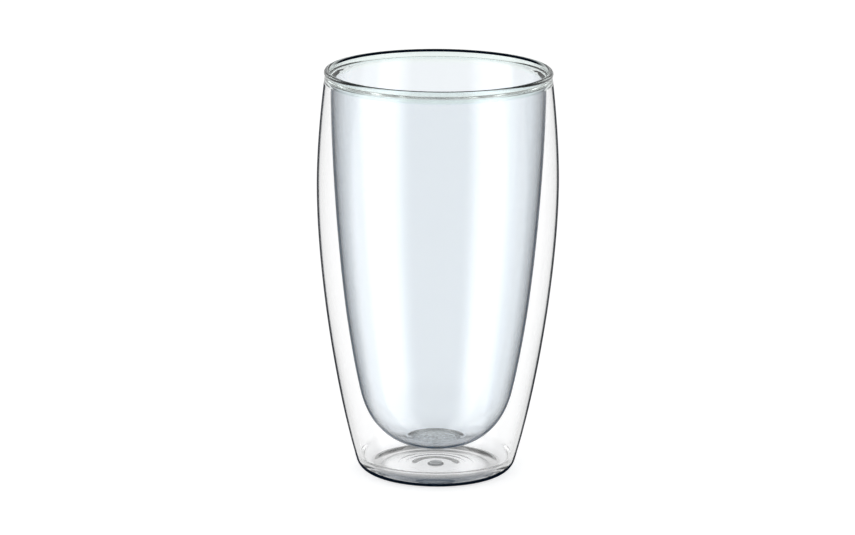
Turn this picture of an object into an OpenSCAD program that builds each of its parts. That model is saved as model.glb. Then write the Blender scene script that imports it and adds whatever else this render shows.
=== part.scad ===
// Tall double walled tumbler: an inner bowl and an outer shell of blown
// borosilicate glass, joined only at the rim by a fused bead. The sealed air
// space between the walls is stopped under the base by a soft vent plug.
// Every piece is turned about the Z axis, and the foot ring stands on z = 0.

/* [Shell] */
// Height from the table to the top of the rim
height = 150; // [125:1:180]
// Diameter of the shell where it is widest
belly_d = 88.4; // [84:0.2:100]
// Height of the widest place of the shell
belly_z = 107.6; // [95:0.5:118]
// Diameter of the shell just under the rim bead
rim_d = 83.2; // [78:0.2:86]
// Lean of the shell towards the axis under the rim, in degrees
rim_lean = 7; // [2:1:12]
// Diameter of the foot ring, where the rounded heel meets the table
foot_d = 47.8; // [42:0.2:54]
// Radius of the rounded heel
heel_r = 5.6; // [4.5:0.1:8]
// Lean of the shell away from the axis above the heel, in degrees
heel_lean = 17; // [13:1:21]
// Thickness of the shell along its side
shell_wall = 1.3; // [0.9:0.1:1.8]
// Thickness of the shell through its heel and foot ring
base_wall = 1.9; // [1.4:0.1:2.6]
// Height over which the side thickens towards the heel
heel_fade = 60; // [30:1:80]

/* [Foot] */
// Width of the flat ring that the cup stands on
foot_land = 2; // [1.2:0.1:3]
// Rise of the hollow under the base, from the foot ring to its recess
dome_h = 0.45; // [0.3:0.05:1]
// Diameter of the round recess in the middle of that hollow
recess_d = 19.2; // [16:0.2:24]
// Depth of that recess
recess_h = 0.45; // [0.2:0.05:0.8]
// Width of the slope inside the edge of that recess
recess_slope = 3.3; // [2:0.1:4]
// Distance between the fine rings round that recess
ring_step = 2.6; // [2:0.1:3]
// Width of each of those rings
ring_w = 2.2; // [1.6:0.1:2.6]
// Height of those rings
ring_h = 0.035; // [0:0.005:0.1]
// Thickness of the base in its middle, round the vent hole
centre_wall = 1.2; // [1:0.1:2.4]
// Width of the thicker glass between the flat floor and the edge of the foot
fill_w = 6.4; // [5:0.1:9]
// Distance from the edge of the foot in to the corner of the shell's inside
corner_in = 0.9; // [0.4:0.1:2]
// Height of that corner above the flat floor
corner_h = 1.3; // [0.8:0.1:2]
// Slope of the shell's inside at that corner, in degrees
corner_lean = 24; // [18:1:34]

/* [Bowl] */
// Height of the lowest place of the bowl above the table
bowl_z = 10.5; // [8:0.1:14]
// Diameter of the bowl at its shoulder, where the rounded bottom ends
shoulder_d = 56.4; // [50:0.2:60]
// Height of the shoulder
shoulder_z = 30.5; // [27:0.5:38]
// Lean of the bowl away from the axis at its shoulder, in degrees
shoulder_lean = 13; // [8:1:16]
// Thickness of the bowl along its side
bowl_wall = 1.4; // [1:0.1:1.8]
// Thickness of the bowl in the middle of its bottom
floor_wall = 0.8; // [0.7:0.1:2]
// Diameter of the round mark under the bowl, where its glass was sealed
mark_d = 22.6; // [16:0.2:26]
// Width of the sloping ring inside the edge of that mark
mark_w = 2.6; // [2:0.1:4]
// Depth of that mark
mark_h = 0.2; // [0.1:0.05:0.5]
// Rise of the bowl's underside outside that mark, in degrees
mark_lean = 17; // [10:1:22]
// Diameter of the flat in the middle of the bowl's floor
flat_d = 12; // [8:0.5:16]
// Air gap between the two walls at the rim
rim_gap = 1.2; // [0.8:0.1:2]
// Air gap between the two walls where the shell is widest
belly_gap = 5.1; // [3:0.1:7]
// Lean of the bowl away from the axis where the shell is widest, in degrees
bowl_lean = 3.5; // [1:0.5:7]

/* [Rim bead] */
// Radius of the rounded lip
lip_r = 1.05; // [0.9:0.05:1.4]
// Height of the solid glass that joins the walls, with the lip
joint_h = 4.5; // [4:0.1:6]
// Depth of the neck between the lip and the shell
neck_depth = 0.3; // [0:0.05:0.5]
// Height that the air gap reaches up into the joint
gap_rise = 1.7; // [1:0.1:2.2]

/* [Vent plug] */
// Diameter of the vent hole through the base
vent_d = 3.6; // [3.2:0.1:6]
// Gap all round the plug's stem in the vent hole
vent_clearance = 0.05; // [0.02:0.01:0.1]
// Width of the plug's flange outside the hole, under the base
flange_w = 1.2; // [1:0.1:2]
// Thickness of that flange
flange_h = 0.4; // [0.3:0.05:0.6]
// Width of the plug's lip beyond the hole, above the base
barb_w = 0.5; // [0.4:0.1:1]
// Height of the plug's head above the base
barb_h = 0.4; // [0.3:0.1:1.2]

/* [Hidden] */

$fn = 96;
curve_steps = 30;
arc_steps = 16;
base_steps = 80;
// Number of fine rings round the recess under the base
rings = 2;

glass_colour = [0.80, 0.87, 0.92, 0.45];
rim_colour = [0.70, 0.80, 0.80, 0.60];
silicone_colour = [0.93, 0.94, 0.94, 1];

// Reach of the handles of each curve, as shares of the height that it spans
heel_handle_share = 0.23;
belly_below_share = 0.33;
belly_above_share = 0.30;
rim_handle_share = 0.32;
shoulder_below_share = 0.46;
shoulder_above_share = 0.28;
bowl_below_share = 0.34;
bowl_above_share = 0.38;
bowl_rim_share = 0.27;
// Reach of the neck's handles, as a share of the neck's height
neck_share = 0.4;
// Reach of the handle outside the bowl's mark, as a share of the width left there
mark_handle_share = 0.60;
// Reach of the handles of the bowl's inside under the shoulder, as shares of
// the height that it spans and of the width outside the flat of its floor
inside_below_share = 0.42;
inside_bottom_share = 0.64;
// How far down its lower curve the shell's inside runs beside its outside
side_share = 0.965;
// Reach of the handles beside the corner of the shell's inside, as a share of
// the way to where its two tangents meet
corner_share = 0.55;
// Reach of the handles between that corner and the flat floor, as shares of
// the corner's own run down to the floor and of the width that is left
fill_down_share = 0.6;
fill_flat_share = 0.5;
// How sharply the dome of the hollow turns down at the foot ring
dome_power = 1.6;

land_z = height - joint_h;
belly_r = belly_d / 2;
rim_r = rim_d / 2;
foot_r = foot_d / 2;
foot_in_r = foot_r - foot_land;
bowl_rim_r = rim_r - shell_wall - rim_gap;
bowl_belly_r = belly_r - shell_wall - belly_gap;
shoulder_r = shoulder_d / 2;
mark_r = mark_d / 2;
vent_r = vent_d / 2;
stem_r = vent_r - vent_clearance;
flange_r = vent_r + flange_w;
barb_r = vent_r + barb_w;
recess_r = recess_d / 2;
kick_h = dome_h + recess_h;
lip_centre_r = rim_r - lip_r;
lip_centre_z = height - lip_r;
floor_z = kick_h + centre_wall;

// A point of a cubic Bezier curve p = [start, handle, handle, end] at t
function bezier(p, t) =
    pow(1 - t, 3) * p[0] + 3 * pow(1 - t, 2) * t * p[1]
    + 3 * (1 - t) * t * t * p[2] + pow(t, 3) * p[3];

// The unit normal on the right of that curve's direction of travel
function bezier_normal(p, t) =
    let (d = pow(1 - t, 2) * (p[1] - p[0]) + 2 * (1 - t) * t * (p[2] - p[1])
             + t * t * (p[3] - p[2]))
    [d[1], -d[0]] / norm(d);

// Points of the curve moved along their normals by the thickness at each height
function bezier_run(p, offset_by) =
    [for (i = [0 : curve_steps])
        let (t = i / curve_steps, q = bezier(p, t))
        q + offset_by(q) * bezier_normal(p, t)];

// Points of an arc about a centre, from one angle to another
function arc(centre, r, from, to) =
    [for (i = [0 : arc_steps])
        let (w = from + (to - from) * i / arc_steps)
        centre + r * [cos(w), sin(w)]];

// Smooth step from 0 to 1 as x goes from 0 to 1
function smooth(x) = let (u = min(1, max(0, x))) u * u * (3 - 2 * u);

// Thickness of the shell's side at a point: more towards the heel
shell_thickness = function (q)
    base_wall + (shell_wall - base_wall) * smooth((q[1] - heel_r) / heel_fade);
no_thickness = function (q) 0;

// Where the shell's side leaves the round of the heel
heel_top = [foot_r + heel_r * cos(heel_lean), heel_r - heel_r * sin(heel_lean)];

// The shell's outside from the rim down to its widest place, then to the heel
shell_upper = let (span = land_z - belly_z)
    [[rim_r, land_z],
     [rim_r, land_z] + rim_handle_share * span * [sin(rim_lean), -cos(rim_lean)],
     [belly_r, belly_z + belly_above_share * span],
     [belly_r, belly_z]];
shell_lower = let (span = belly_z - heel_top[1])
    [[belly_r, belly_z],
     [belly_r, belly_z - belly_below_share * span],
     heel_top + heel_handle_share * span * [sin(heel_lean), cos(heel_lean)],
     heel_top];

// Height of the base's underside at a distance from the axis
function under_z(r) =
    dome_h * (1 - pow(min(1, max(0, (r - recess_r) / (foot_in_r - recess_r))), dome_power))
    + recess_h * (1 - smooth((r - recess_r + recess_slope) / recess_slope))
    + ring_h * max([for (k = [0 : rings - 1])
        let (u = min(1, abs(r - recess_r - (k + 0.5) * ring_step) / (ring_w / 2)))
        (1 + cos(180 * u)) / 2]);

// The underside from the foot ring in to the vent hole
under_run = [for (i = [0 : base_steps])
                let (r = foot_in_r + (vent_r - foot_in_r) * i / base_steps)
                [r, under_z(r)]];

// The shell's inside from its widest place down to where it leaves the side
side_run = [for (i = [0 : curve_steps])
               let (t = side_share * i / curve_steps, q = bezier(shell_lower, t))
               q + shell_thickness(q) * bezier_normal(shell_lower, t)];

// From there round its corner, then down to the flat floor
corner_curves = let (start = side_run[curve_steps],
                     across = bezier_normal(shell_lower, side_share),
                     way = [-across[1], across[0]],
                     corner = [foot_r - corner_in, floor_z + corner_h],
                     slope = [cos(corner_lean), sin(corner_lean)],
                     gone = cross(corner - start, slope) / cross(way, slope),
                     meet = start + gone * way,
                     down = fill_down_share * corner_h / tan(corner_lean),
                     floor_r = foot_r - fill_w)
    [[start,
      start + corner_share * (meet - start),
      corner + corner_share * (meet - corner),
      corner],
     [corner,
      corner - down * [1, tan(corner_lean)],
      [floor_r + fill_flat_share * (corner[0] - floor_r), floor_z],
      [floor_r, floor_z]]];

// The bowl's outside from the rim down to the height of the shell's widest
// place, then to the shoulder, then to the axis
bowl_upper = let (span = land_z - belly_z)
    [[bowl_rim_r, land_z],
     [bowl_rim_r, land_z - bowl_rim_share * span],
     [bowl_belly_r, belly_z] + bowl_above_share * span * [sin(bowl_lean), cos(bowl_lean)],
     [bowl_belly_r, belly_z]];
bowl_middle = let (span = belly_z - shoulder_z)
    [[bowl_belly_r, belly_z],
     [bowl_belly_r, belly_z] - bowl_below_share * span * [sin(bowl_lean), cos(bowl_lean)],
     [shoulder_r, shoulder_z]
        + shoulder_above_share * span * [sin(shoulder_lean), cos(shoulder_lean)],
     [shoulder_r, shoulder_z]];
bowl_lower = let (span = shoulder_z - bowl_z, width = shoulder_r - mark_r)
    [[shoulder_r, shoulder_z],
     [shoulder_r, shoulder_z]
        - shoulder_below_share * span * [sin(shoulder_lean), cos(shoulder_lean)],
     [mark_r, bowl_z] + mark_handle_share * width * [cos(mark_lean), sin(mark_lean)],
     [mark_r, bowl_z]];

// The mark under the bowl, from its edge to the axis
mark_run = [for (i = [1 : arc_steps])
               [mark_r - mark_w * i / arc_steps, bowl_z + mark_h * smooth(i / arc_steps)]];

// The bowl's inside from the shoulder to the flat of its floor
bowl_inside_lower = let (floor_top = bowl_z + mark_h + floor_wall,
                         start = [shoulder_r, shoulder_z]
                                 + bowl_wall * [-cos(shoulder_lean), sin(shoulder_lean)],
                         span = start[1] - floor_top)
    [start,
     start - inside_below_share * span * [sin(shoulder_lean), cos(shoulder_lean)],
     [flat_d / 2 + inside_bottom_share * (start[0] - flat_d / 2), floor_top],
     [flat_d / 2, floor_top]];

bowl_thickness = function (q) bowl_wall;

function reversed(p) = [for (i = [len(p) - 1 : -1 : 0]) p[i]];
function without_first(p) = [for (i = [1 : len(p) - 1]) p[i]];

module turned(points) {
    rotate_extrude() polygon(points);
}

module inner_bowl() {
    outside = concat(bezier_run(bowl_upper, no_thickness),
                     without_first(bezier_run(bowl_middle, no_thickness)),
                     without_first(bezier_run(bowl_lower, no_thickness)),
                     mark_run, [[0, bowl_z + mark_h]]);
    inside = concat(bezier_run(bowl_upper, bowl_thickness),
                    without_first(bezier_run(bowl_middle, bowl_thickness)),
                    without_first(bezier_run(bowl_inside_lower, no_thickness)),
                    [[0, bowl_inside_lower[3][1]]]);
    color(glass_colour) turned(concat(outside, reversed(inside)));
}

module outer_shell() {
    outside = concat(bezier_run(shell_upper, no_thickness),
                     without_first(bezier_run(shell_lower, no_thickness)),
                     without_first(arc([foot_r, heel_r], heel_r, -heel_lean, -90)),
                     under_run);
    inside = concat([[rim_r - shell_wall, land_z]],
                    without_first(bezier_run(shell_upper, shell_thickness)),
                    without_first(side_run),
                    without_first(bezier_run(corner_curves[0], no_thickness)),
                    without_first(bezier_run(corner_curves[1], no_thickness)),
                    [[vent_r, floor_z]]);
    color(glass_colour) turned(concat(outside, reversed(inside)));
}

module rim_bead() {
    lip_centre = [lip_centre_r, lip_centre_z];
    half_way_z = (land_z + lip_centre_z) / 2;
    mouth = [[bowl_rim_r - bowl_wall, land_z],
             [bowl_rim_r - bowl_wall, half_way_z],
             [lip_centre_r - lip_r, half_way_z],
             [lip_centre_r - lip_r, lip_centre_z]];
    neck_angle = acos(1 - neck_depth / lip_r);
    lip_end = lip_centre + lip_r * [cos(neck_angle), -sin(neck_angle)];
    neck_reach = neck_share * (lip_end[1] - land_z);
    neck = [lip_end,
            lip_end - [0, neck_reach],
            [rim_r, land_z] + neck_reach * [-sin(rim_lean), cos(rim_lean)],
            [rim_r, land_z]];
    gap_centre_r = bowl_rim_r + rim_gap / 2;
    gap = [for (i = [0 : arc_steps])
              let (w = 180 * i / arc_steps)
              [gap_centre_r + rim_gap / 2 * cos(w), land_z + gap_rise * sin(w)]];
    color(rim_colour)
        turned(concat(bezier_run(mouth, no_thickness),
                      without_first(arc(lip_centre, lip_r, 180, 90)),
                      without_first(arc(lip_centre, lip_r, 90, -neck_angle)),
                      without_first(bezier_run(neck, no_thickness)),
                      gap));
}

module vent_plug() {
    under = [for (i = [0 : arc_steps])
                let (w = 90 * i / arc_steps)
                [flange_r * sin(w), kick_h - flange_h * (1 + cos(w)) / 2]];
    over = [for (i = [0 : arc_steps])
               let (w = 90 * i / arc_steps)
               [barb_r * cos(w), floor_z + barb_h * (1 + sin(w)) / 2]];
    color(silicone_colour)
        turned(concat(under,
                      [[flange_r, kick_h], [stem_r, kick_h], [stem_r, floor_z], [barb_r, floor_z]],
                      over));
}

inner_bowl();
outer_shell();
rim_bead();
vent_plug();
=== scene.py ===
"""A tall double walled tumbler of clear blown glass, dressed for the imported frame.

The cup is four pieces that are all turned about the Z axis: the outer shell,
the inner bowl that hangs inside it, the fused bead at the rim, and the soft
plug in the vent hole of the base. Sizes are in millimetres, as a glassblower
would give them, and become metres when a mesh is made. The cup stands on z = 0.
"""

import logging
import math
from collections.abc import Callable
from dataclasses import dataclass
from enum import Enum

import bpy
from mathutils import Matrix, Vector


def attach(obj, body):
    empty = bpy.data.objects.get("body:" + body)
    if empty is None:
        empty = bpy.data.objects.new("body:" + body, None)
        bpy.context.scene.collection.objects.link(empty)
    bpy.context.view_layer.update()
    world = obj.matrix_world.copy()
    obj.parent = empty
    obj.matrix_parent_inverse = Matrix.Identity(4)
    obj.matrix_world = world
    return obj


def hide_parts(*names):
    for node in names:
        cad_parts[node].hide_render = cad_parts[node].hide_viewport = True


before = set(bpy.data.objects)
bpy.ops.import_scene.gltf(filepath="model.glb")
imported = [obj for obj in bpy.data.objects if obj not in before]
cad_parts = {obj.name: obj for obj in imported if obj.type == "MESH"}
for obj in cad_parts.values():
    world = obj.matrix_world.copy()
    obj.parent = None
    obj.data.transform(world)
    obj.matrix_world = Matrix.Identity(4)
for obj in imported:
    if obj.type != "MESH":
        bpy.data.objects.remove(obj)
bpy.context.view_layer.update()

log = logging.getLogger("cup")
logging.basicConfig(level=logging.INFO, format="%(message)s")

MM = 0.001
WHITE = (1.0, 1.0, 1.0, 1.0)
SAME_POINT = 1e-6  # millimetres within which two points of an outline are one
Point = tuple[float, float]
Colour = tuple[float, float, float]
Socket = bpy.types.NodeSocket


class Side(Enum):
    """Which way a stretch of a turned piece faces. The value is its material slot."""

    OUTSIDE = 0
    INSIDE = 1
    SEAM = 2
    LIP = 3


def smooth(x: float) -> float:
    """Eases from 0 to 1 as x goes from 0 to 1."""
    u = min(1.0, max(0.0, x))
    return u * u * (3 - 2 * u)


def arc(centre: Point, radius: float, start: float, end: float, steps: int) -> list[Point]:
    """Points of an arc about a centre.

    Args:
        centre: The arc's centre as (r, z).
        radius: Its radius.
        start: The first angle in degrees, from the direction away from the axis.
        end: The last angle in degrees.
        steps: How many chords the arc is cut into.

    Returns:
        The points from the first angle to the last.
    """
    angles = [math.radians(start + (end - start) * i / steps) for i in range(steps + 1)]
    return [(centre[0] + radius * math.cos(a), centre[1] + radius * math.sin(a)) for a in angles]


@dataclass(frozen=True)
class Curve:
    """A cubic Bezier curve in the (r, z) half plane."""

    start: Point
    leave: Point
    arrive: Point
    end: Point

    def at(self, t: float) -> Point:
        """Finds a point of the curve.

        Args:
            t: The place on the curve from 0 to 1.

        Returns:
            The point there.
        """
        a, b, c, d = (1 - t) ** 3, 3 * (1 - t) ** 2 * t, 3 * (1 - t) * t * t, t**3
        p = (self.start, self.leave, self.arrive, self.end)
        return tuple(a * p[0][k] + b * p[1][k] + c * p[2][k] + d * p[3][k] for k in (0, 1))

    def right_of(self, t: float) -> Point:
        """Finds which way the curve's right hand side faces.

        Args:
            t: The place on the curve from 0 to 1.

        Returns:
            The unit normal on the right of the direction of travel.
        """
        a, b, c = (1 - t) ** 2, 2 * (1 - t) * t, t * t
        p = (self.start, self.leave, self.arrive, self.end)
        dr, dz = (
            a * (p[1][k] - p[0][k]) + b * (p[2][k] - p[1][k]) + c * (p[3][k] - p[2][k])
            for k in (0, 1)
        )
        length = math.hypot(dr, dz)
        return (dz / length, -dr / length)

    def run(
        self, steps: int, thickness: Callable[[Point], float] | None = None, share: float = 1.0
    ) -> list[Point]:
        """Points along the curve, moved inwards where a thickness is given.

        Args:
            steps: How many chords the curve is cut into.
            thickness: A function from a point to the wall's thickness there, or None.
            share: How far along the curve the run goes.

        Returns:
            The points from the curve's start onwards.
        """
        found = []
        for i in range(steps + 1):
            t = share * i / steps
            q, n = self.at(t), self.right_of(t)
            w = thickness(q) if thickness else 0.0
            found.append((q[0] + w * n[0], q[1] + w * n[1]))
        return found


@dataclass
class Stretch:
    """Part of a turned outline that faces one way.

    Attributes:
        side: Which way it faces.
        points: Its points as (r, z) in millimetres. It starts where the stretch before it ends.
    """

    side: Side
    points: list[Point]


@dataclass
class Lathe:
    """Turns a closed outline about the Z axis into a smooth closed mesh.

    Attributes:
        segments: How many steps go round the axis.
        crease: The angle in degrees above which a ring stays a sharp edge.
    """

    segments: int = 288
    crease: float = 32.0

    def turn(self, name: str, outline: list[Stretch]) -> bpy.types.Object:
        """Makes the mesh object.

        Args:
            name: The object's name.
            outline: The stretches in order, running down the outside and up the inside.

        Returns:
            The new object, linked to the scene.
        """
        points: list[Point] = []
        sides: list[Side] = []
        for stretch in outline:
            for q in stretch.points:
                if points and math.dist(points[-1], q) < SAME_POINT:
                    continue
                if points:
                    sides.append(stretch.side)
                points.append(q)
        if math.dist(points[0], points[-1]) < SAME_POINT:
            points.pop()
        elif points[0][0] > SAME_POINT or points[-1][0] > SAME_POINT:
            sides.append(outline[-1].side)
        rings, verts = [], []
        for r, z in points:
            if r < SAME_POINT:
                rings.append([len(verts)])
                verts.append((0.0, 0.0, z * MM))
                continue
            rings.append(list(range(len(verts), len(verts) + self.segments)))
            for i in range(self.segments):
                a = 2 * math.pi * i / self.segments
                verts.append((r * MM * math.cos(a), r * MM * math.sin(a), z * MM))
        faces, slots = [], []
        for k, side in enumerate(sides):
            upper, lower = rings[k], rings[(k + 1) % len(rings)]
            for i in range(self.segments):
                j = (i + 1) % self.segments
                around = ((upper, i), (lower, i), (lower, j), (upper, j))
                corners = [ring[m % len(ring)] for ring, m in around]
                corners = [c for n, c in enumerate(corners) if c not in corners[:n]]
                if len(corners) > 2:
                    faces.append(corners)
                    slots.append(side.value)
        mesh = bpy.data.meshes.new(name)
        mesh.from_pydata(verts, [], faces)
        mesh.polygons.foreach_set("material_index", slots)
        mesh.polygons.foreach_set("use_smooth", [True] * len(faces))
        mesh.validate()
        mesh.update()
        mesh.set_sharp_from_angle(angle=math.radians(self.crease))
        piece = bpy.data.objects.new(name, mesh)
        bpy.context.scene.collection.objects.link(piece)
        return piece


class Graph:
    """A short way to write a material's nodes."""

    def __init__(self, tree: bpy.types.NodeTree) -> None:
        """Starts on an empty tree."""
        tree.nodes.clear()
        self.tree = tree

    def add(self, kind: str, **values: str) -> bpy.types.Node:
        """Adds a node.

        Args:
            kind: The node's type, without the word ShaderNode.
            values: Attributes of the node by name.

        Returns:
            The new node.
        """
        node = self.tree.nodes.new("ShaderNode" + kind)
        for name, value in values.items():
            setattr(node, name, value)
        return node

    def join(self, source: Socket, target: Socket) -> None:
        """Links an output to an input."""
        self.tree.links.new(source, target)

    def ramp(self, source: Socket, stops: list[tuple[float, Colour]]) -> Socket:
        """Maps a number to a colour through a ramp.

        Args:
            source: The number.
            stops: Pairs of a place from 0 to 1 and the colour there.

        Returns:
            The ramp's colour output.
        """
        node = self.add("ValToRGB")
        elements = node.color_ramp.elements
        while len(elements) < len(stops):
            elements.new(0.5)
        for element, (place, colour) in zip(elements, stops):
            element.position = place
            element.color = (*colour, 1.0)
        self.join(source, node.inputs[0])
        return node.outputs[0]

    def between(self, source: Socket, low: float, high: float, to_low: float, to_high: float) -> Socket:
        """Maps a number from one range to another, eased and kept inside it.

        Args:
            source: The number.
            low: Where its range starts.
            high: Where its range ends.
            to_low: What it becomes at the start.
            to_high: What it becomes at the end.

        Returns:
            The mapped number.
        """
        node = self.add("MapRange", interpolation_type="SMOOTHSTEP")
        for k, value in enumerate((low, high, to_low, to_high), start=1):
            node.inputs[k].default_value = value
        self.join(source, node.inputs[0])
        return node.outputs[0]

    def sum(self, kind: str, *terms: Socket | float) -> Socket:
        """Does arithmetic on numbers.

        Args:
            kind: The kind of arithmetic.
            terms: The numbers, each a socket or a plain value.

        Returns:
            The result.
        """
        node = self.add("Math", operation=kind)
        for term, socket in zip(terms, node.inputs):
            if isinstance(term, (int, float)):
                socket.default_value = term
            else:
                self.join(term, socket)
        return node.outputs[0]

    def shaders(self, share: Socket, first: Socket, second: Socket) -> Socket:
        """Mixes two shaders.

        Args:
            share: How much of the second shows, from 0 to 1.
            first: The first shader.
            second: The second shader.

        Returns:
            The mixed shader.
        """
        node = self.add("MixShader")
        for socket, source in zip(node.inputs, (share, first, second)):
            self.join(source, socket)
        return node.outputs[0]

    def place(self) -> bpy.types.Node:
        """Adds the place on the object.

        Returns:
            A node with the place's X, Y and Z in metres as outputs.
        """
        place, split = self.add("TexCoord"), self.add("SeparateXYZ")
        self.join(place.outputs["Object"], split.inputs[0])
        return split

    def from_axis(self, place: bpy.types.Node) -> Socket:
        """The distance of a place from the Z axis, in metres."""
        squares = [self.sum("POWER", place.outputs[k], 2.0) for k in "XY"]
        return self.sum("SQRT", self.sum("ADD", *squares))


@dataclass(frozen=True)
class BlownGlass:
    """Clear borosilicate glass, fire polished, with a painted dark line where it is seen edge on.

    Facing is 0 where a face looks at the viewer and 1 where it turns away.

    Attributes:
        name: The material's name.
        tint: What each face lets through of each colour.
        edge: The colour of the painted dark line, painted shade where the face turns away.
        painted_edge_stops: Facing and how much of that painted line shows there.
        heel_gain: How far down in facing the painted edge line reaches on the tight round of the heel.
        heel_z: The heights in millimetres between which that reach dies out.
        heel_end: The height in millimetres above which only the side's edge is left.
        heel_r: The distances from the axis in millimetres between which the heel's edge begins.
        painted_heel_shade_amount: How much painted shade shows on the face-on glass low in the heel.
        painted_heel_shade: The colour of that painted shade.
        painted_heel_shade_z: The heights in millimetres between which it dies out.
        painted_heel_shade_facing: The facing between which it dies out.
        low_gain: How far down in facing the painted edge line reaches on the lowest part of the piece.
        low_z: The heights in millimetres between which that dies out.
        ior: The glass's index of refraction.
        pucker: How far the glass puckers in the round mark at the axis, in millimetres.
        pucker_r: The radii in millimetres between which the puckers die out.
        pucker_scale: How many puckers there are to the metre.
        pucker_detail: How much finer wrinkling they carry.
        pucker_twist: How far they are drawn out of shape.
    """

    name: str
    tint: Colour
    edge: Colour = (0.01, 0.015, 0.03)
    painted_edge_stops: tuple[tuple[float, float], ...] = ()
    heel_gain: float = 0.0
    heel_z: tuple[float, float] = (0.6, 5.5)
    heel_end: float = 8.8
    heel_r: tuple[float, float] = (24.0, 25.2)
    painted_heel_shade_amount: float = 0.0
    painted_heel_shade: Colour = (0.03, 0.09, 0.17)
    painted_heel_shade_z: tuple[float, float] = (3.4, 6.4)
    painted_heel_shade_facing: tuple[float, float] = (0.3, 0.65)
    low_gain: float = 0.0
    low_z: tuple[float, float] = (12.0, 28.0)
    ior: float = 1.47
    pucker: float = 0.0
    pucker_r: tuple[float, float] = (7.0, 9.5)
    pucker_scale: float = 420.0
    pucker_detail: float = 2.0
    pucker_twist: float = 1.4

    def glass(self, g: Graph) -> bpy.types.Node:
        """Adds the clear glass, with its puckers where it has them.

        Args:
            g: The graph of the material's nodes.

        Returns:
            The glass shader's node.
        """
        glass = g.add("BsdfPrincipled")
        glass.inputs["Base Color"].default_value = (*(c * c for c in self.tint), 1.0)
        glass.inputs["Roughness"].default_value = 0.0
        glass.inputs["IOR"].default_value = self.ior
        glass.inputs["Transmission Weight"].default_value = 1.0
        if self.pucker:
            g.join(self.puckers(g), glass.inputs["Normal"])
        return glass

    def puckers(self, g: Graph) -> Socket:
        """Adds the puckered glass of the mark.

        Args:
            g: The graph of the material's nodes.

        Returns:
            The surface's normal with the puckers in it.
        """
        noise, place = g.add("TexNoise"), g.add("TexCoord")
        noise.inputs["Scale"].default_value = self.pucker_scale
        noise.inputs["Detail"].default_value = self.pucker_detail
        noise.inputs["Distortion"].default_value = self.pucker_twist
        g.join(place.outputs["Object"], noise.inputs["Vector"])
        inner, outer = (r * MM for r in self.pucker_r)
        inside = g.between(g.from_axis(g.place()), inner, outer, 1.0, 0.0)
        bump = g.add("Bump")
        bump.inputs["Distance"].default_value = self.pucker * MM
        g.join(g.sum("MULTIPLY", noise.outputs["Fac"], inside), bump.inputs["Height"])
        return bump.outputs[0]

    def line(self, g: Graph, facing: Socket) -> Socket:
        """Finds how much of the painted dark edge line shows.

        Args:
            g: The graph of the material's nodes.
            facing: How far the face turns away.

        Returns:
            The share, which is wider at the heel and low on the piece where those are set.
        """
        moved = facing
        if self.low_gain:
            low, high = (z * MM for z in self.low_z)
            gain = g.between(g.place().outputs["Z"], low, high, self.low_gain, 0.0)
            moved = g.sum("ADD", facing, gain)
        share = g.ramp(moved, [(p, (v, v, v)) for p, v in self.painted_edge_stops])
        if not self.heel_gain:
            return share
        place = g.place()
        low, high = (z * MM for z in self.heel_z)
        wider = g.between(place.outputs["Z"], low, high, self.heel_gain, 0.0)
        start, full = (p for p, v in self.painted_edge_stops[1:3])
        heel = g.between(g.sum("ADD", facing, wider), start, full, 0.0, 1.0)
        begins, ends = (r * MM for r in self.heel_r)
        heel = g.sum("MULTIPLY", heel, g.between(g.from_axis(place), begins, ends, 0.0, 1.0))
        above = g.between(place.outputs["Z"], high, self.heel_end * MM, 0.0, 1.0)
        blend = g.add("Mix")
        g.join(above, blend.inputs["Factor"])
        g.join(heel, blend.inputs["A"])
        g.join(share, blend.inputs["B"])
        return blend.outputs["Result"]

    def painted_heel_shade_share(self, g: Graph, facing: Socket) -> Socket:
        """Finds how much painted shade shows low in the heel.

        Args:
            g: The graph of the material's nodes.
            facing: How far the face turns away.

        Returns:
            The share.
        """
        low, high = (z * MM for z in self.painted_heel_shade_z)
        amount = g.between(g.place().outputs["Z"], low, high, self.painted_heel_shade_amount, 0.0)
        return g.sum("MULTIPLY", amount, g.between(facing, *self.painted_heel_shade_facing, 1.0, 0.0))

    def material(self) -> bpy.types.Material:
        """Builds the node material.

        Returns:
            The material: clear glass with painted shade, a dark line where light enters it at a turned
            edge and a dark band low in the heel where those are set, and a plain tint of the light
            where it casts a shadow.
        """
        made = bpy.data.materials.new(self.name)
        made.use_nodes = True
        g = Graph(made.node_tree)
        shown = self.glass(g).outputs[0]
        if self.painted_edge_stops:
            facing = g.add("LayerWeight").outputs["Facing"]
            entered = g.sum("SUBTRACT", 1.0, g.add("NewGeometry").outputs["Backfacing"])
            # Painted shade: a dark diffuse mixed in on the face-on glass low in the heel, for the dark band
            # seen there.
            if self.painted_heel_shade_amount:
                painted_heel_shade = g.add("BsdfDiffuse")
                painted_heel_shade.inputs["Color"].default_value = (*self.painted_heel_shade, 1.0)
                share = g.sum("MULTIPLY", self.painted_heel_shade_share(g, facing), entered)
                shown = g.shaders(share, shown, painted_heel_shade.outputs[0])
            # Painted shade: a dark diffuse mixed in where the face turns edge on, for the dark surroundings
            # that glass bends into view there.
            line = g.add("BsdfDiffuse")
            line.inputs["Color"].default_value = (*self.edge, 1.0)
            share = g.sum("MULTIPLY", self.line(g, facing), entered)
            shown = g.shaders(share, shown, line.outputs[0])
        clear, path = g.add("BsdfTransparent"), g.add("LightPath")
        clear.inputs["Color"].default_value = (*self.tint, 1.0)
        shown = g.shaders(path.outputs["Is Shadow Ray"], shown, clear.outputs[0])
        g.join(shown, g.add("OutputMaterial").inputs["Surface"])
        return made


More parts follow.
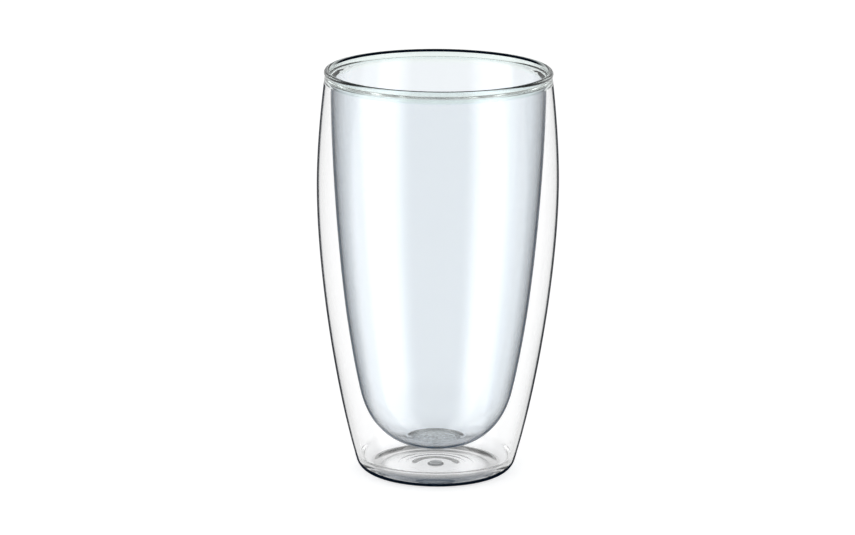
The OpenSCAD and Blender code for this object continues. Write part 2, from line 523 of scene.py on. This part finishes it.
@dataclass(frozen=True)
class FusedSeam:
    """The place where two pieces of glass were melted into one, which nothing shows."""

    name: str = "fused_seam"

    def material(self) -> bpy.types.Material:
        """Builds the node material.

        Returns:
            The material, which lets everything through.
        """
        made = bpy.data.materials.new(self.name)
        made.use_nodes = True
        g = Graph(made.node_tree)
        clear = g.add("BsdfTransparent")
        clear.inputs["Color"].default_value = WHITE
        g.join(clear.outputs[0], g.add("OutputMaterial").inputs["Surface"])
        return made


@dataclass(frozen=True)
class Silicone:
    """Soft pale silicone with a satin skin.

    Attributes:
        name: The material's name.
        colour: Its colour.
        roughness: How rough its skin is.
        ior: Its index of refraction.
        mottle: How light the darker spots of its skin are beside the rest.
        mottle_scale: How many spots there are to the metre.
        mottle_stops: The noise's values between which a spot fades into the skin.
    """

    name: str = "plug_silicone"
    colour: Colour = (0.95, 0.96, 0.96)
    roughness: float = 0.45
    ior: float = 1.41
    mottle: float = 0.97
    mottle_scale: float = 900.0
    mottle_stops: tuple[float, float] = (0.35, 0.65)

    def material(self) -> bpy.types.Material:
        """Builds the node material.

        Returns:
            The material.
        """
        made = bpy.data.materials.new(self.name)
        made.use_nodes = True
        g = Graph(made.node_tree)
        skin = g.add("BsdfPrincipled")
        skin.inputs["Roughness"].default_value = self.roughness
        skin.inputs["IOR"].default_value = self.ior
        place, noise = g.add("TexCoord"), g.add("TexNoise")
        noise.inputs["Scale"].default_value = self.mottle_scale
        g.join(place.outputs["Object"], noise.inputs["Vector"])
        pale = tuple(self.mottle * c for c in self.colour)
        stops = list(zip(self.mottle_stops, (pale, self.colour)))
        g.join(g.ramp(noise.outputs["Fac"], stops), skin.inputs["Base Color"])
        g.join(skin.outputs[0], g.add("OutputMaterial").inputs["Surface"])
        return made


@dataclass
class OuterShell:
    """The blown outer wall, from the seam under the rim to the hollow under the base.

    Lengths are in millimetres and leans in degrees. A share says how far a handle of a
    curve lies along its span, and steps say how many chords a stretch is cut into.
    """

    height: float = 150.0
    joint_h: float = 4.5
    belly_d: float = 88.4
    belly_z: float = 107.6
    rim_d: float = 83.2
    rim_lean: float = 7.0
    foot_d: float = 47.8
    foot_land: float = 2.0
    heel_r: float = 5.6
    heel_lean: float = 17.0
    wall: float = 1.3
    base_wall: float = 1.9
    heel_fade: float = 60.0
    dome_h: float = 0.45
    dome_power: float = 1.6
    recess_r: float = 9.6
    recess_h: float = 0.45
    recess_slope: float = 3.3
    rings: int = 2
    ring_step: float = 2.6
    ring_w: float = 2.2
    ring_h: float = 0.035
    centre_wall: float = 1.2
    fill_w: float = 6.4
    corner_in: float = 0.9
    corner_h: float = 1.3
    corner_lean: float = 24.0
    side_share: float = 0.965
    vent_r: float = 1.8
    rim_share: float = 0.32
    belly_up_share: float = 0.30
    belly_down_share: float = 0.33
    heel_share: float = 0.23
    corner_share: float = 0.55
    fill_down_share: float = 0.6
    fill_flat_share: float = 0.5
    upper_steps: int = 36
    lower_steps: int = 64
    heel_steps: int = 28
    corner_steps: int = 40
    under_steps: int = 160
    # The outside carries painted shade: a dark line where it turns edge on, widened on the heel, and a dark
    # band on the face-on glass low in the heel.
    outside: BlownGlass = BlownGlass(
        "shell_glass_outside",
        tint=(0.997, 0.998, 0.999),
        edge=(0.010, 0.020, 0.040),
        painted_edge_stops=((0.0, 0.0), (0.78, 0.0), (0.83, 0.93), (0.92, 0.93), (0.95, 0.1)),
        heel_gain=0.5,
        painted_heel_shade_amount=0.7,
    )
    inside: BlownGlass = BlownGlass("shell_glass_inside", tint=(0.997, 0.998, 0.999))

    def land_z(self) -> float:
        """The height of the fused seam."""
        return self.height - self.joint_h

    def heel_top(self) -> Point:
        """Finds where the side leaves the round of the heel.

        Returns:
            The point.
        """
        lean = math.radians(self.heel_lean)
        return (
            self.foot_d / 2 + self.heel_r * math.cos(lean),
            self.heel_r - self.heel_r * math.sin(lean),
        )

    def thickness(self, q: Point) -> float:
        """The wall's thickness at a point of the side: more towards the heel."""
        thinned = smooth((q[1] - self.heel_r) / self.heel_fade)
        return self.base_wall + (self.wall - self.base_wall) * thinned

    def upper(self) -> Curve:
        """Draws the side from the seam down to the belly.

        Returns:
            The curve.
        """
        rim_r, belly_r, land = self.rim_d / 2, self.belly_d / 2, self.land_z()
        span, lean = land - self.belly_z, math.radians(self.rim_lean)
        reach = self.rim_share * span
        return Curve(
            (rim_r, land),
            (rim_r + reach * math.sin(lean), land - reach * math.cos(lean)),
            (belly_r, self.belly_z + self.belly_up_share * span),
            (belly_r, self.belly_z),
        )

    def lower(self) -> Curve:
        """Draws the side from the belly down to the heel.

        Returns:
            The curve.
        """
        belly_r, top, lean = self.belly_d / 2, self.heel_top(), math.radians(self.heel_lean)
        span = self.belly_z - top[1]
        reach = self.heel_share * span
        return Curve(
            (belly_r, self.belly_z),
            (belly_r, self.belly_z - self.belly_down_share * span),
            (top[0] + reach * math.sin(lean), top[1] + reach * math.cos(lean)),
            top,
        )

    def under(self, r: float) -> float:
        """Finds how high the base's underside is.

        Args:
            r: The distance from the axis.

        Returns:
            The height there, with the dome, the recess and the fine rings.
        """
        out = (r - self.recess_r) / (self.foot_d / 2 - self.foot_land - self.recess_r)
        dome = self.dome_h * (1 - min(1.0, max(0.0, out)) ** self.dome_power)
        slope = (r - self.recess_r + self.recess_slope) / self.recess_slope
        recess = self.recess_h * (1 - smooth(slope))
        near = min(abs(r - self.recess_r - (k + 0.5) * self.ring_step) for k in range(self.rings))
        ring = self.ring_h * (1 + math.cos(math.pi * min(1.0, near / (self.ring_w / 2)))) / 2
        return dome + recess + ring

    def corner(self, floor_z: float) -> list[Point]:
        """Draws the inside from where it leaves the side, round its corner, to the flat floor.

        Args:
            floor_z: The height of the flat floor.

        Returns:
            The points from the side to the edge of the floor.
        """
        side, lean = self.lower(), math.radians(self.corner_lean)
        q, n = side.at(self.side_share), side.right_of(self.side_share)
        w = self.thickness(q)
        start, way = (q[0] + w * n[0], q[1] + w * n[1]), (-n[1], n[0])
        corner = (self.foot_d / 2 - self.corner_in, floor_z + self.corner_h)
        floor_r = self.foot_d / 2 - self.fill_w
        gone = (corner[0] - start[0]) * math.sin(lean) - (corner[1] - start[1]) * math.cos(lean)
        gone /= way[0] * math.sin(lean) - way[1] * math.cos(lean)
        meet = (start[0] + gone * way[0], start[1] + gone * way[1])
        down = self.fill_down_share * self.corner_h / math.tan(lean)
        leave, arrive = (
            tuple(p[k] + self.corner_share * (meet[k] - p[k]) for k in (0, 1)) for p in (start, corner)
        )
        turn = Curve(start, leave, arrive, corner)
        fill = Curve(
            corner,
            (corner[0] - down, corner[1] - down * math.tan(lean)),
            (floor_r + self.fill_flat_share * (corner[0] - floor_r), floor_z),
            (floor_r, floor_z),
        )
        return turn.run(self.corner_steps) + fill.run(self.corner_steps)

    def build(self, lathe: Lathe) -> bpy.types.Object:
        """Turns the shell.

        Args:
            lathe: The lathe to turn it on.

        Returns:
            The shell, standing for its CAD node.
        """
        floor_z = self.dome_h + self.recess_h + self.centre_wall
        side = (self.upper(), self.upper_steps), (self.lower(), self.lower_steps)
        outer = [q for curve, steps in side for q in curve.run(steps)]
        outer += arc((self.foot_d / 2, self.heel_r), self.heel_r, -self.heel_lean, -90, self.heel_steps)
        ring_r, n = self.foot_d / 2 - self.foot_land, self.under_steps
        radii = [ring_r + (self.vent_r - ring_r) * i / n for i in range(n + 1)]
        outer += [(r, self.under(r)) for r in radii] + [(self.vent_r, floor_z)]
        inner = [(self.rim_d / 2 - self.wall, self.land_z())]
        inner += self.upper().run(self.upper_steps, self.thickness)[1:]
        inner += self.lower().run(self.lower_steps, self.thickness, self.side_share)
        inner += self.corner(floor_z) + [(self.vent_r, floor_z)]
        seam = [inner[0], outer[0]]
        piece = lathe.turn(
            "shell_glass",
            [Stretch(Side.OUTSIDE, outer), Stretch(Side.INSIDE, inner[::-1]), Stretch(Side.SEAM, seam)],
        )
        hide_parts("outer_shell")
        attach(piece, "root")
        return piece

    def dress(self, piece: bpy.types.Object, seam: bpy.types.Material) -> None:
        """Gives the shell its glass, side by side."""
        for made in (self.outside.material(), self.inside.material(), seam):
            piece.data.materials.append(made)


@dataclass
class InnerBowl:
    """The blown inner vessel, with the round mark under it where its glass was sealed.

    Its lengths, leans, shares and steps are as in the shell.
    """

    land_z: float = 145.5
    rim_r: float = 39.1
    belly_r: float = 37.8
    belly_z: float = 107.6
    belly_lean: float = 3.5
    bowl_z: float = 10.5
    shoulder_d: float = 56.4
    shoulder_z: float = 30.5
    shoulder_lean: float = 13.0
    wall: float = 1.4
    floor_wall: float = 0.8
    flat_r: float = 6.0
    mark_r: float = 11.3
    mark_w: float = 2.6
    mark_h: float = 0.2
    mark_lean: float = 17.0
    rim_share: float = 0.27
    belly_up_share: float = 0.38
    belly_down_share: float = 0.34
    shoulder_up_share: float = 0.28
    shoulder_down_share: float = 0.46
    mark_share: float = 0.60
    inside_down_share: float = 0.42
    inside_flat_share: float = 0.64
    upper_steps: int = 24
    middle_steps: int = 48
    lower_steps: int = 72
    floor_steps: int = 96
    mark_steps: int = 24
    # The outside carries painted shade: a dark line at its edge with a wide soft grey-blue band inside it,
    # widened low down. Its tint, greyer than the shell's, is partly a faint tint of the glass and partly
    # painted shade for light its faces reflect away.
    outside: BlownGlass = BlownGlass(
        "bowl_glass_outside",
        tint=(0.935, 0.950, 0.962),
        pucker=2.0,
        edge=(0.006, 0.038, 0.08),
        painted_edge_stops=(
            (0.0, 0.0), (0.40, 0.0), (0.50, 0.10), (0.60, 0.26), (0.70, 0.48), (0.757, 0.70),
            (0.80, 1.0), (0.88, 0.95), (0.95, 0.6),
        ),
        low_gain=0.05,
    )
    # This tint too is greyer than the shell's: partly a faint tint of the glass, partly painted shade for
    # light reflected away at its faces.
    inside: BlownGlass = BlownGlass("bowl_glass_inside", tint=(0.930, 0.949, 0.963))

    def upper(self) -> Curve:
        """Draws the side from the seam down to the height of the shell's belly.

        Returns:
            The curve.
        """
        span, lean = self.land_z - self.belly_z, math.radians(self.belly_lean)
        reach = self.belly_up_share * span
        return Curve(
            (self.rim_r, self.land_z),
            (self.rim_r, self.land_z - self.rim_share * span),
            (self.belly_r + reach * math.sin(lean), self.belly_z + reach * math.cos(lean)),
            (self.belly_r, self.belly_z),
        )

    def middle(self) -> Curve:
        """Draws the side from there down to the shoulder.

        Returns:
            The curve.
        """
        r, span = self.shoulder_d / 2, self.belly_z - self.shoulder_z
        high, low = math.radians(self.belly_lean), math.radians(self.shoulder_lean)
        down, up = self.belly_down_share * span, self.shoulder_up_share * span
        return Curve(
            (self.belly_r, self.belly_z),
            (self.belly_r - down * math.sin(high), self.belly_z - down * math.cos(high)),
            (r + up * math.sin(low), self.shoulder_z + up * math.cos(low)),
            (r, self.shoulder_z),
        )

    def lower(self) -> Curve:
        """Draws the rounded bottom from the shoulder to the edge of the mark.

        Returns:
            The curve.
        """
        r = self.shoulder_d / 2
        lean, rise = math.radians(self.shoulder_lean), math.radians(self.mark_lean)
        down = self.shoulder_down_share * (self.shoulder_z - self.bowl_z)
        reach = self.mark_share * (r - self.mark_r)
        return Curve(
            (r, self.shoulder_z),
            (r - down * math.sin(lean), self.shoulder_z - down * math.cos(lean)),
            (self.mark_r + reach * math.cos(rise), self.bowl_z + reach * math.sin(rise)),
            (self.mark_r, self.bowl_z),
        )

    def mark(self) -> list[Point]:
        """Draws the mark under the bowl.

        Returns:
            Its points from its edge to the axis.
        """
        gone = [i / self.mark_steps for i in range(1, self.mark_steps + 1)]
        slope = [(self.mark_r - self.mark_w * u, self.bowl_z + self.mark_h * smooth(u)) for u in gone]
        return slope + [(0.0, self.bowl_z + self.mark_h)]

    def floor(self) -> Curve:
        """Draws the rounded inside from the shoulder to the flat of the floor.

        Returns:
            The curve.
        """
        lean, top = math.radians(self.shoulder_lean), self.bowl_z + self.mark_h + self.floor_wall
        r = self.shoulder_d / 2 - self.wall * math.cos(lean)
        z = self.shoulder_z + self.wall * math.sin(lean)
        down = self.inside_down_share * (z - top)
        return Curve(
            (r, z),
            (r - down * math.sin(lean), z - down * math.cos(lean)),
            (self.flat_r + self.inside_flat_share * (r - self.flat_r), top),
            (self.flat_r, top),
        )

    def build(self, lathe: Lathe) -> bpy.types.Object:
        """Turns the bowl.

        Args:
            lathe: The lathe to turn it on.

        Returns:
            The bowl, standing for its CAD node.
        """
        side = (self.upper(), self.upper_steps), (self.middle(), self.middle_steps)
        outer = [q for curve, steps in side for q in curve.run(steps)]
        outer += self.lower().run(self.lower_steps) + self.mark()
        inner = [q for curve, steps in side for q in curve.run(steps, lambda q: self.wall)]
        inner += self.floor().run(self.floor_steps)
        inner.append((0.0, inner[-1][1]))
        seam = [inner[0], outer[0]]
        piece = lathe.turn(
            "bowl_glass",
            [Stretch(Side.OUTSIDE, outer), Stretch(Side.INSIDE, inner[::-1]), Stretch(Side.SEAM, seam)],
        )
        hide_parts("inner_bowl")
        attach(piece, "root")
        return piece

    def dress(self, piece: bpy.types.Object, seam: bpy.types.Material) -> None:
        """Gives the bowl its glass, side by side."""
        for made in (self.outside.material(), self.inside.material(), seam):
            piece.data.materials.append(made)


@dataclass
class RimBead:
    """The glass melted together at the rim, with the top of the air gap inside it.

    Its lengths, leans, shares and steps are as in the shell. The lip's painted shade, near black
    where it faces the viewer, starts lip_in points up the inside of the lip and ends lip_out
    points over its top.
    """

    height: float = 150.0
    land_z: float = 145.5
    rim_r: float = 41.6
    rim_lean: float = 7.0
    shell_wall: float = 1.3
    bowl_rim_r: float = 39.1
    bowl_wall: float = 1.4
    lip_r: float = 1.05
    neck_depth: float = 0.3
    neck_share: float = 0.4
    gap_rise: float = 1.7
    lip_in: int = 3
    lip_out: int = 8
    mouth_steps: int = 20
    lip_in_steps: int = 18
    lip_out_steps: int = 26
    neck_steps: int = 14
    gap_steps: int = 24
    outside: BlownGlass = BlownGlass("rim_glass_outside", tint=(0.90, 0.94, 0.93))
    inside: BlownGlass = BlownGlass("rim_glass_inside", tint=(0.96, 0.97, 0.97))
    # The lip is painted near black where it faces the viewer: painted shade for the dark surroundings that
    # the round bead bends into view.
    lip: BlownGlass = BlownGlass(
        "rim_glass_lip_painted_shade",
        tint=(0.90, 0.94, 0.93),
        edge=(0.004, 0.008, 0.018),
        painted_edge_stops=((0.0, 1.0), (0.55, 1.0), (0.72, 0.25), (0.95, 0.1)),
    )

    def build(self, lathe: Lathe) -> bpy.types.Object:
        """Turns the bead.

        Args:
            lathe: The lathe to turn it on.

        Returns:
            The bead, standing for its CAD node.
        """
        centre = (self.rim_r - self.lip_r, self.height - self.lip_r)
        mouth_r, lip_in_r = self.bowl_rim_r - self.bowl_wall, centre[0] - self.lip_r
        half_z = (self.land_z + centre[1]) / 2
        mouth = Curve(
            (mouth_r, self.land_z), (mouth_r, half_z), (lip_in_r, half_z), (lip_in_r, centre[1])
        )
        turn = math.acos(1 - self.neck_depth / self.lip_r)
        end = (centre[0] + self.lip_r * math.cos(turn), centre[1] - self.lip_r * math.sin(turn))
        reach, lean = self.neck_share * (end[1] - self.land_z), math.radians(self.rim_lean)
        neck = Curve(
            end,
            (end[0], end[1] - reach),
            (self.rim_r - reach * math.sin(lean), self.land_z + reach * math.cos(lean)),
            (self.rim_r, self.land_z),
        )
        inner_lip = arc(centre, self.lip_r, 180, 90, self.lip_in_steps)
        outer_lip = arc(centre, self.lip_r, 90, -math.degrees(turn), self.lip_out_steps)
        gap_r = (self.rim_r - self.shell_wall - self.bowl_rim_r) / 2
        gap = [
            (self.bowl_rim_r + gap_r + gap_r * math.cos(a), self.land_z + self.gap_rise * math.sin(a))
            for a in (math.pi * i / self.gap_steps for i in range(self.gap_steps + 1))
        ]
        piece = lathe.turn(
            "rim_glass",
            [
                Stretch(Side.OUTSIDE, mouth.run(self.mouth_steps) + inner_lip[: self.lip_in]),
                Stretch(Side.LIP, inner_lip[self.lip_in :] + outer_lip[: self.lip_out]),
                Stretch(Side.OUTSIDE, outer_lip[self.lip_out :] + neck.run(self.neck_steps)),
                Stretch(Side.SEAM, [gap[0]]),
                Stretch(Side.INSIDE, gap),
                Stretch(Side.SEAM, [(mouth_r, self.land_z)]),
            ],
        )
        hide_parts("rim_bead")
        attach(piece, "root")
        return piece

    def dress(self, piece: bpy.types.Object, seam: bpy.types.Material) -> None:
        """Gives the bead its glass, side by side."""
        for made in (self.outside.material(), self.inside.material(), seam, self.lip.material()):
            piece.data.materials.append(made)


@dataclass
class VentPlug:
    """The soft plug that stops the vent hole in the middle of the base."""

    vent_r: float = 1.8
    clearance: float = 0.05
    flange_w: float = 1.2
    flange_h: float = 0.4
    barb_w: float = 0.5
    barb_h: float = 0.4
    kick_h: float = 0.9
    floor_z: float = 2.1
    round_steps: int = 16
    finish: Silicone = Silicone()

    def build(self, lathe: Lathe) -> bpy.types.Object:
        """Turns the plug.

        Args:
            lathe: The lathe to turn it on.

        Returns:
            The plug, standing for its CAD node.
        """
        flange_r, barb_r = self.vent_r + self.flange_w, self.vent_r + self.barb_w
        stem_r, low, high = self.vent_r - self.clearance, self.kick_h, self.floor_z
        quarter = [math.pi / 2 * i / self.round_steps for i in range(self.round_steps + 1)]
        under = [(flange_r * math.sin(a), low - self.flange_h * (1 + math.cos(a)) / 2) for a in quarter]
        over = [(barb_r * math.cos(a), high + self.barb_h * (1 + math.sin(a)) / 2) for a in quarter]
        over[-1] = (0.0, over[-1][1])
        stem = [(flange_r, low), (stem_r, low), (stem_r, high), (barb_r, high)]
        outline = (under + stem + over)[::-1]
        piece = lathe.turn("vent_plug_silicone", [Stretch(Side.OUTSIDE, outline)])
        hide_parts("vent_plug")
        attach(piece, "root")
        return piece

    def dress(self, piece: bpy.types.Object) -> None:
        """Gives the plug its silicone."""
        piece.data.materials.append(self.finish.material())


@dataclass
class Studio:
    """The white table and backdrop, the soft light, and the camera at the photograph's angle.

    Bearings go round from the camera's side. A brightness of 1 is white, and the height
    of a direction goes from 0 on the level to 1 straight up.

    Attributes:
        plain: How bright the surroundings are as a plain source of light.
        overhead: How bright the dark ceiling is in glass, beside the white walls.
        ceiling: Between which heights of a direction the walls give way to it.
        panels: Pairs of a bearing in degrees and how bright the walls and the tall light
            panels on them are there in a reflection.
        far_side: How bright the far side of the studio is in a reflection, beside the rest.
        far_bearing: The bearings, in turns to either side, between which it begins.
        far_rise: Between which heights of a direction it begins, above the table.
        painted_contact_shadow: Pairs of a distance from the axis in millimetres and how light the table is
            there, darker in a ring under the foot as a painted contact shadow.
        contact_r: The radius in millimetres of that disc, the only part that a reflection shows.
        glow: How bright the table is of itself, near the cup and far from it.
        glow_r: The distances from the axis in metres between which that changes.
        table_r: The table's radius in metres.
        table_sides: How many sides its edge has.
        table_drop: How far in millimetres it lies below the foot ring.
        key_bearing: The soft light's bearing in degrees, to the right as the camera sees it.
        key_distance: How far it stands from the axis, in metres.
        key_height: How high its middle is, in metres.
        key_size: Its width and height in metres.
        key_brightness: How bright it is.
        key_aim_z: The height in metres that it faces.
        distance: How far the camera is from the middle of the cup, in metres.
        middle_z: The height of that middle in metres.
        elevation: How far the camera looks down, in degrees.
        lens: Its focal length in millimetres.
        sensor: Its sensor's width in millimetres.
        clip: The nearest and the farthest that it sees, in metres.
        roll: How far it is turned about its own axis, in degrees.
        aim: Where it points, in millimetres right of the middle and up from it.
        bounces: How often light may pass or meet a surface, enough for four faces of glass.
    """

    plain: float = 0.4
    overhead: float = 0.3
    ceiling: tuple[float, float] = (0.35, 0.6)
    panels: tuple[tuple[float, float], ...] = (
        (-180.0, 0.8), (-95.0, 0.8), (-86.0, 2.4), (-52.0, 2.4), (-32.0, 0.8),
        (30.0, 0.8), (48.0, 2.4), (68.0, 2.4), (72.0, 1.36), (92.0, 1.36), (96.0, 0.8), (180.0, 0.8),
    )
    far_side: float = 0.8
    far_bearing: tuple[float, float] = (0.38, 0.45)
    far_rise: tuple[float, float] = (0.0, 0.1)
    painted_contact_shadow: tuple[tuple[float, float], ...] = (
        (0.0, 0.84), (17.0, 0.84), (19.5, 0.50), (24.0, 0.45), (26.0, 0.84), (30.0, 0.84),
    )
    contact_r: float = 30.0
    glow: tuple[float, float] = (0.84, 0.88)
    glow_r: tuple[float, float] = (0.3, 2.0)
    table_r: float = 7.0
    table_sides: int = 96
    table_drop: float = 0.02
    key_bearing: float = -50.0
    key_distance: float = 1.0
    key_height: float = 0.9
    key_size: tuple[float, float] = (0.7, 0.7)
    key_brightness: float = 1.2
    key_aim_z: float = 0.07
    distance: float = 1.5
    middle_z: float = 0.075
    elevation: float = 13.828
    lens: float = 172.39
    sensor: float = 36.0
    clip: tuple[float, float] = (0.05, 50.0)
    roll: float = 0.414
    aim: tuple[float, float] = (-3.54, 1.19)
    bounces: int = 64

    def looked_at(self, g: Graph, path: bpy.types.Node) -> Socket:
        """Tells a look at the studio, straight or by way of glass, from plain lighting.

        Args:
            g: The graph of the nodes.
            path: The light path node.

        Returns:
            1 for such a look and 0 otherwise.
        """
        in_glass = g.sum("MAXIMUM", path.outputs["Is Glossy Ray"], path.outputs["Is Transmission Ray"])
        return g.sum("MAXIMUM", path.outputs["Is Camera Ray"], in_glass)

    def mirrored(self, g: Graph, split: bpy.types.Node) -> Socket:
        """Adds the studio as a reflection shows it.

        Args:
            g: The graph of the world's nodes.
            split: The node with the direction's X, Y and Z as outputs.

        Returns:
            How bright it is in the direction.
        """
        turn = g.sum("ARCTAN2", split.outputs["X"], g.sum("MULTIPLY", split.outputs["Y"], -1.0))
        bearing = g.sum("ADD", g.sum("DIVIDE", turn, 2 * math.pi), 0.5)
        brightest = max(v for _, v in self.panels)
        panel = g.ramp(bearing, [((b + 180.0) / 360.0, (v / brightest,) * 3) for b, v in self.panels])
        aside = g.sum("ABSOLUTE", g.sum("SUBTRACT", bearing, 0.5))
        far = g.between(aside, *self.far_bearing, 0.0, 1.0)
        risen = g.between(split.outputs["Z"], *self.far_rise, 0.0, 1.0)
        lost = g.sum("MULTIPLY", g.sum("MULTIPLY", far, risen), 1.0 - self.far_side)
        return g.sum("MULTIPLY", g.sum("MULTIPLY", panel, brightest), g.sum("SUBTRACT", 1.0, lost))

    def world(self) -> None:
        """Makes the backdrop: white walls and a dark ceiling, and a plain level of light."""
        made = bpy.data.worlds.new("studio")
        bpy.context.scene.world = made
        made.use_nodes = True
        g = Graph(made.node_tree)
        path, place, split = g.add("LightPath"), g.add("TexCoord"), g.add("SeparateXYZ")
        g.join(place.outputs["Generated"], split.inputs[0])
        straight = path.outputs["Is Camera Ray"]
        wall = g.between(split.outputs["Z"], *self.ceiling, 1.0, self.overhead)
        reflected = g.sum("MINIMUM", path.outputs["Glossy Depth"], 1.0)
        change = g.sum("MULTIPLY", g.sum("SUBTRACT", self.mirrored(g, split), 1.0), reflected)
        wall = g.sum("MULTIPLY", wall, g.sum("ADD", change, 1.0))
        backdrop, fill = g.add("Background"), g.add("Background")
        for light in (backdrop, fill):
            light.inputs["Color"].default_value = WHITE
        g.join(g.sum("MAXIMUM", wall, straight), backdrop.inputs["Strength"])
        fill.inputs["Strength"].default_value = self.plain
        shown = g.shaders(self.looked_at(g, path), fill.outputs[0], backdrop.outputs[0])
        g.join(shown, g.add("OutputWorld").inputs["Surface"])

    def table(self) -> None:
        """Makes the white table top that the cup stands on, with a painted contact shadow in a ring under
        the foot.
        """
        mesh = bpy.data.meshes.new("table_top")
        n, drop = self.table_sides, -self.table_drop * MM
        turns = [2 * math.pi * i / n for i in range(n)]
        ring = [(self.table_r * math.cos(a), self.table_r * math.sin(a), drop) for a in turns]
        mesh.from_pydata(ring, [], [list(range(n))])
        top = bpy.data.objects.new("table_top", mesh)
        bpy.context.scene.collection.objects.link(top)
        made = bpy.data.materials.new("white_table")
        made.use_nodes = True
        g = Graph(made.node_tree)
        matt, glow, both = g.add("BsdfDiffuse"), g.add("Emission"), g.add("AddShader")
        place, from_axis = g.add("TexCoord"), g.add("VectorMath", operation="LENGTH")
        g.join(place.outputs["Object"], from_axis.inputs[0])
        radius, disc = from_axis.outputs["Value"], self.contact_r * MM
        # Painted contact shadow: the table is darker in a ring under the foot, in its colour and in its
        # glow.
        stops = [(r / self.contact_r, (v, v, v)) for r, v in self.painted_contact_shadow]
        under = g.ramp(g.sum("DIVIDE", radius, disc), stops)
        g.join(under, matt.inputs["Color"])
        path = g.add("LightPath")
        sweep = g.between(radius, *self.glow_r, *self.glow)
        bright = g.sum("MULTIPLY", g.sum("MULTIPLY", self.looked_at(g, path), sweep), under)
        g.join(bright, glow.inputs["Strength"])
        g.join(matt.outputs[0], both.inputs[0])
        g.join(glow.outputs[0], both.inputs[1])
        outer = g.sum("GREATER_THAN", radius, disc)
        gone = g.sum("MULTIPLY", g.sum("MINIMUM", path.outputs["Glossy Depth"], 1.0), outer)
        shown = g.shaders(gone, both.outputs[0], g.add("BsdfTransparent").outputs[0])
        g.join(shown, g.add("OutputMaterial").inputs["Surface"])
        mesh.materials.append(made)

    def key_light(self) -> None:
        """Hangs the soft area light that faces the cup."""
        data = bpy.data.lights.new("key_light", "AREA")
        data.shape = "RECTANGLE"
        data.size, data.size_y = self.key_size
        data.energy = self.key_brightness * math.pi * self.key_size[0] * self.key_size[1]
        lamp = bpy.data.objects.new("key_light", data)
        a = math.radians(self.key_bearing)
        lamp.location = (self.key_distance * math.sin(a), -self.key_distance * math.cos(a), self.key_height)
        facing = Vector((0, 0, self.key_aim_z)) - lamp.location
        lamp.rotation_euler = facing.to_track_quat("-Z", "Y").to_euler()
        lamp.visible_camera = False
        lamp.visible_transmission = False
        lamp.visible_glossy = False
        bpy.context.scene.collection.objects.link(lamp)

    def camera(self) -> None:
        """Sets the camera where the photograph was taken from."""
        data = bpy.data.cameras.new("camera")
        data.lens, data.sensor_width = self.lens, self.sensor
        data.clip_start, data.clip_end = self.clip
        e = math.radians(self.elevation)
        up = Vector((0.0, math.sin(e), math.cos(e)))
        centre = Vector((0.0, 0.0, self.middle_z))
        place = centre + self.distance * Vector((0.0, -math.cos(e), math.sin(e)))
        target = centre + Vector((self.aim[0] * MM, 0.0, 0.0)) + self.aim[1] * MM * up
        turn = (target - place).to_track_quat("-Z", "Y").to_matrix()
        turn = turn @ Matrix.Rotation(math.radians(self.roll), 3, "Z")
        shot = bpy.data.objects.new("camera", data)
        shot.matrix_world = Matrix.Translation(place) @ turn.to_4x4()
        bpy.context.scene.collection.objects.link(shot)
        bpy.context.scene.camera = shot

    def set_up(self) -> None:
        """Sets up the whole studio."""
        self.camera()
        self.world()
        self.table()
        self.key_light()
        view = bpy.context.scene
        view.view_settings.view_transform = "Standard"
        view.cycles.max_bounces = self.bounces
        view.cycles.transmission_bounces = self.bounces
        view.cycles.glossy_bounces = self.bounces
        view.cycles.transparent_max_bounces = self.bounces


def main() -> None:
    """Builds and dresses the cup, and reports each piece."""
    Studio().set_up()
    lathe, seam = Lathe(), FusedSeam().material()
    for maker in (OuterShell(), InnerBowl(), RimBead()):
        piece = maker.build(lathe)
        maker.dress(piece, seam)
        log.info("%s: %d faces", piece.name, len(piece.data.polygons))
    plug = VentPlug()
    piece = plug.build(lathe)
    plug.dress(piece)
    log.info("%s: %d faces", piece.name, len(piece.data.polygons))


if __name__ == "__main__":
    main()
